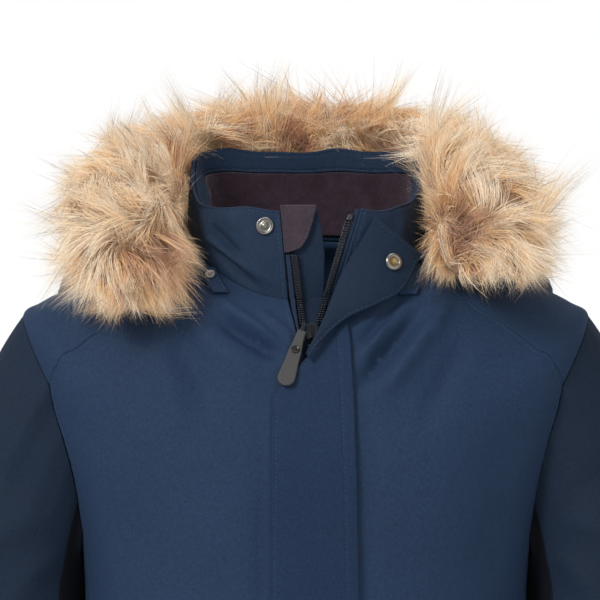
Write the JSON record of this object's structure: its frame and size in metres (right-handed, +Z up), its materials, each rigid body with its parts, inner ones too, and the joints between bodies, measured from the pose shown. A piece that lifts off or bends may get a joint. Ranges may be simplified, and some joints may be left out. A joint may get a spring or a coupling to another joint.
{
  "type": "snowsuit",
  "caption": "Child's one-piece snowsuit, filled out and hollow, with fur-trimmed hood folded back, stand collar half unzipped and a storm flap over the zip.",
  "frame": {"origin": "middle of the neck opening, level with the front of the neck seam", "axes": "+Z up the body, -Y the front, +X the wearer's left"},
  "size_m": [0.6196, 0.2541, 1.2019],
  "materials": {
    "shell": "fine plain weave, coated, soft sheen",
    "fleece": "short dense fleece",
    "guard_fleece": "brushed fleece",
    "fur": "long-haired imitation fur, dark tips",
    "zip_tape": "woven twill tape",
    "zip_coil": "wound coil, slight gloss",
    "slider_metal": "black enamel",
    "snap_metal": "polished nickel",
    "tab_rubber": "matt moulded rubber"
  },
  "bodies": {
    "garment": {"front_left": "shell", "front_right": "shell", "back": "shell", "side_left": "shell", "side_right": "shell", "shoulder_left": "shell", "shoulder_right": "shell", "sleeve_left": "shell", "sleeve_right": "shell", "sleeve_under_left": "shell", "sleeve_under_right": "shell", "leg_front_left": "shell", "leg_front_right": "shell", "leg_back_left": "shell", "leg_back_right": "shell", "collar": "shell", "collar_facing": "shell", "wind_flap": "shell", "storm_flap": "shell", "storm_flap_turned": "shell", "hood_tab_left": "shell", "hood_tab_right": "shell", "hood_left": "shell", "hood_centre": "shell", "hood_right": "shell", "collar_lining": "fleece", "chin_guard": "guard_fleece", "fur_trim": "fur", "zip_tape_left": "zip_tape", "zip_tape_right": "zip_tape", "zip_chain_left": "zip_coil", "zip_chain_right": "zip_coil", "zip_chain_closed": "zip_coil", "slider": "slider_metal", "zip_top_stop": "slider_metal", "snap_stud": "snap_metal", "snap_socket": "snap_metal", "hood_tab_snap": "snap_metal"},
    "pull": {"pull_tab": "tab_rubber", "pull_rivet": "slider_metal"}
  },
  "joints": [
    {"name": "pull_tab_hinge", "type": "hinge", "parent": "garment", "child": "pull", "pos_m": [-0.0014, -0.08173, -0.0177], "axis": [-0.9576, 0.1497, 0.2462], "range_deg": [0, 140]}
  ]
}
